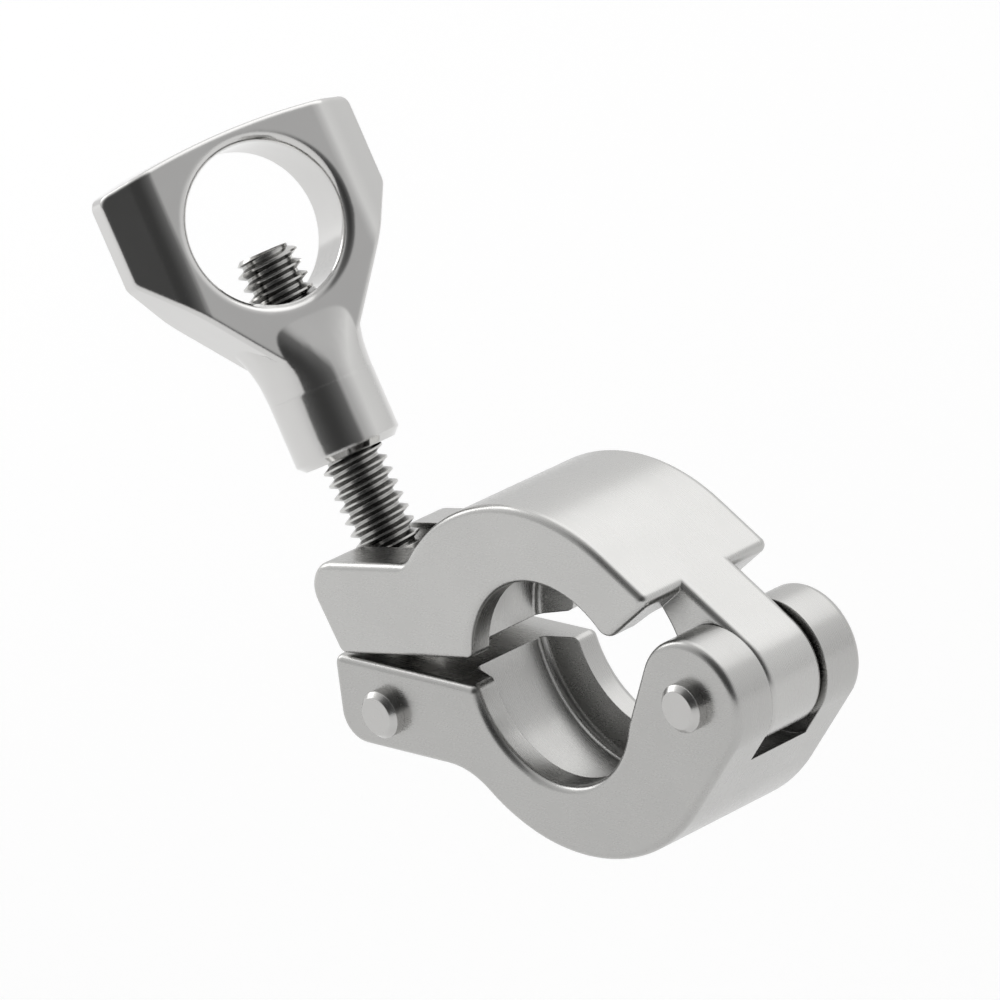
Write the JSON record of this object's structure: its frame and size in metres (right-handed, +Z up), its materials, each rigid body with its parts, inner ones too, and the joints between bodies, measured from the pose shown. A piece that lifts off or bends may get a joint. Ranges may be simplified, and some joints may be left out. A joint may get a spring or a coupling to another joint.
{
  "type": "sanitary clamp",
  "caption": "Small hinged clamp for sanitary tube ferrules: two cast V-groove jaws, a swing bolt in a forked lug and a wing nut with a large cross hole.",
  "frame": {"origin": "centre of the bore, half way along it", "axes": "+X towards the hinge, +Y along the bore, +Z up to the wing nut; the lower jaw's split face is level"},
  "size_m": [0.075, 0.0272, 0.0636],
  "materials": {
    "cast_jaw": "satin",
    "pin_steel": "satin",
    "bolt_steel": "satin",
    "polished_nut": "polished"
  },
  "bodies": {
    "lower_jaw": {"lower_jaw": "cast_jaw", "hinge_pin": "pin_steel", "bolt_pin": "pin_steel"},
    "upper_jaw": {"upper_jaw": "cast_jaw"},
    "eye_bolt": {"eye_bolt": "bolt_steel"},
    "wing_nut": {"wing_nut": "polished_nut"}
  },
  "joints": [
    {"name": "jaw_hinge", "type": "hinge", "parent": "lower_jaw", "child": "upper_jaw", "pos_m": [0.0182, 0, 0.0015], "axis": [0, 1, 0], "range_deg": [0, 150]},
    {"name": "bolt_swing", "type": "hinge", "parent": "lower_jaw", "child": "eye_bolt", "pos_m": [-0.0221, 0, -0.00665], "axis": [0, -1, 0], "range_deg": [-30, 130]},
    {"name": "nut_turn", "type": "hinge", "parent": "eye_bolt", "child": "wing_nut", "pos_m": [-0.0317, 0, 0.01491], "axis": [-0.4067, 0, 0.9135], "continuous": true}
  ]
}
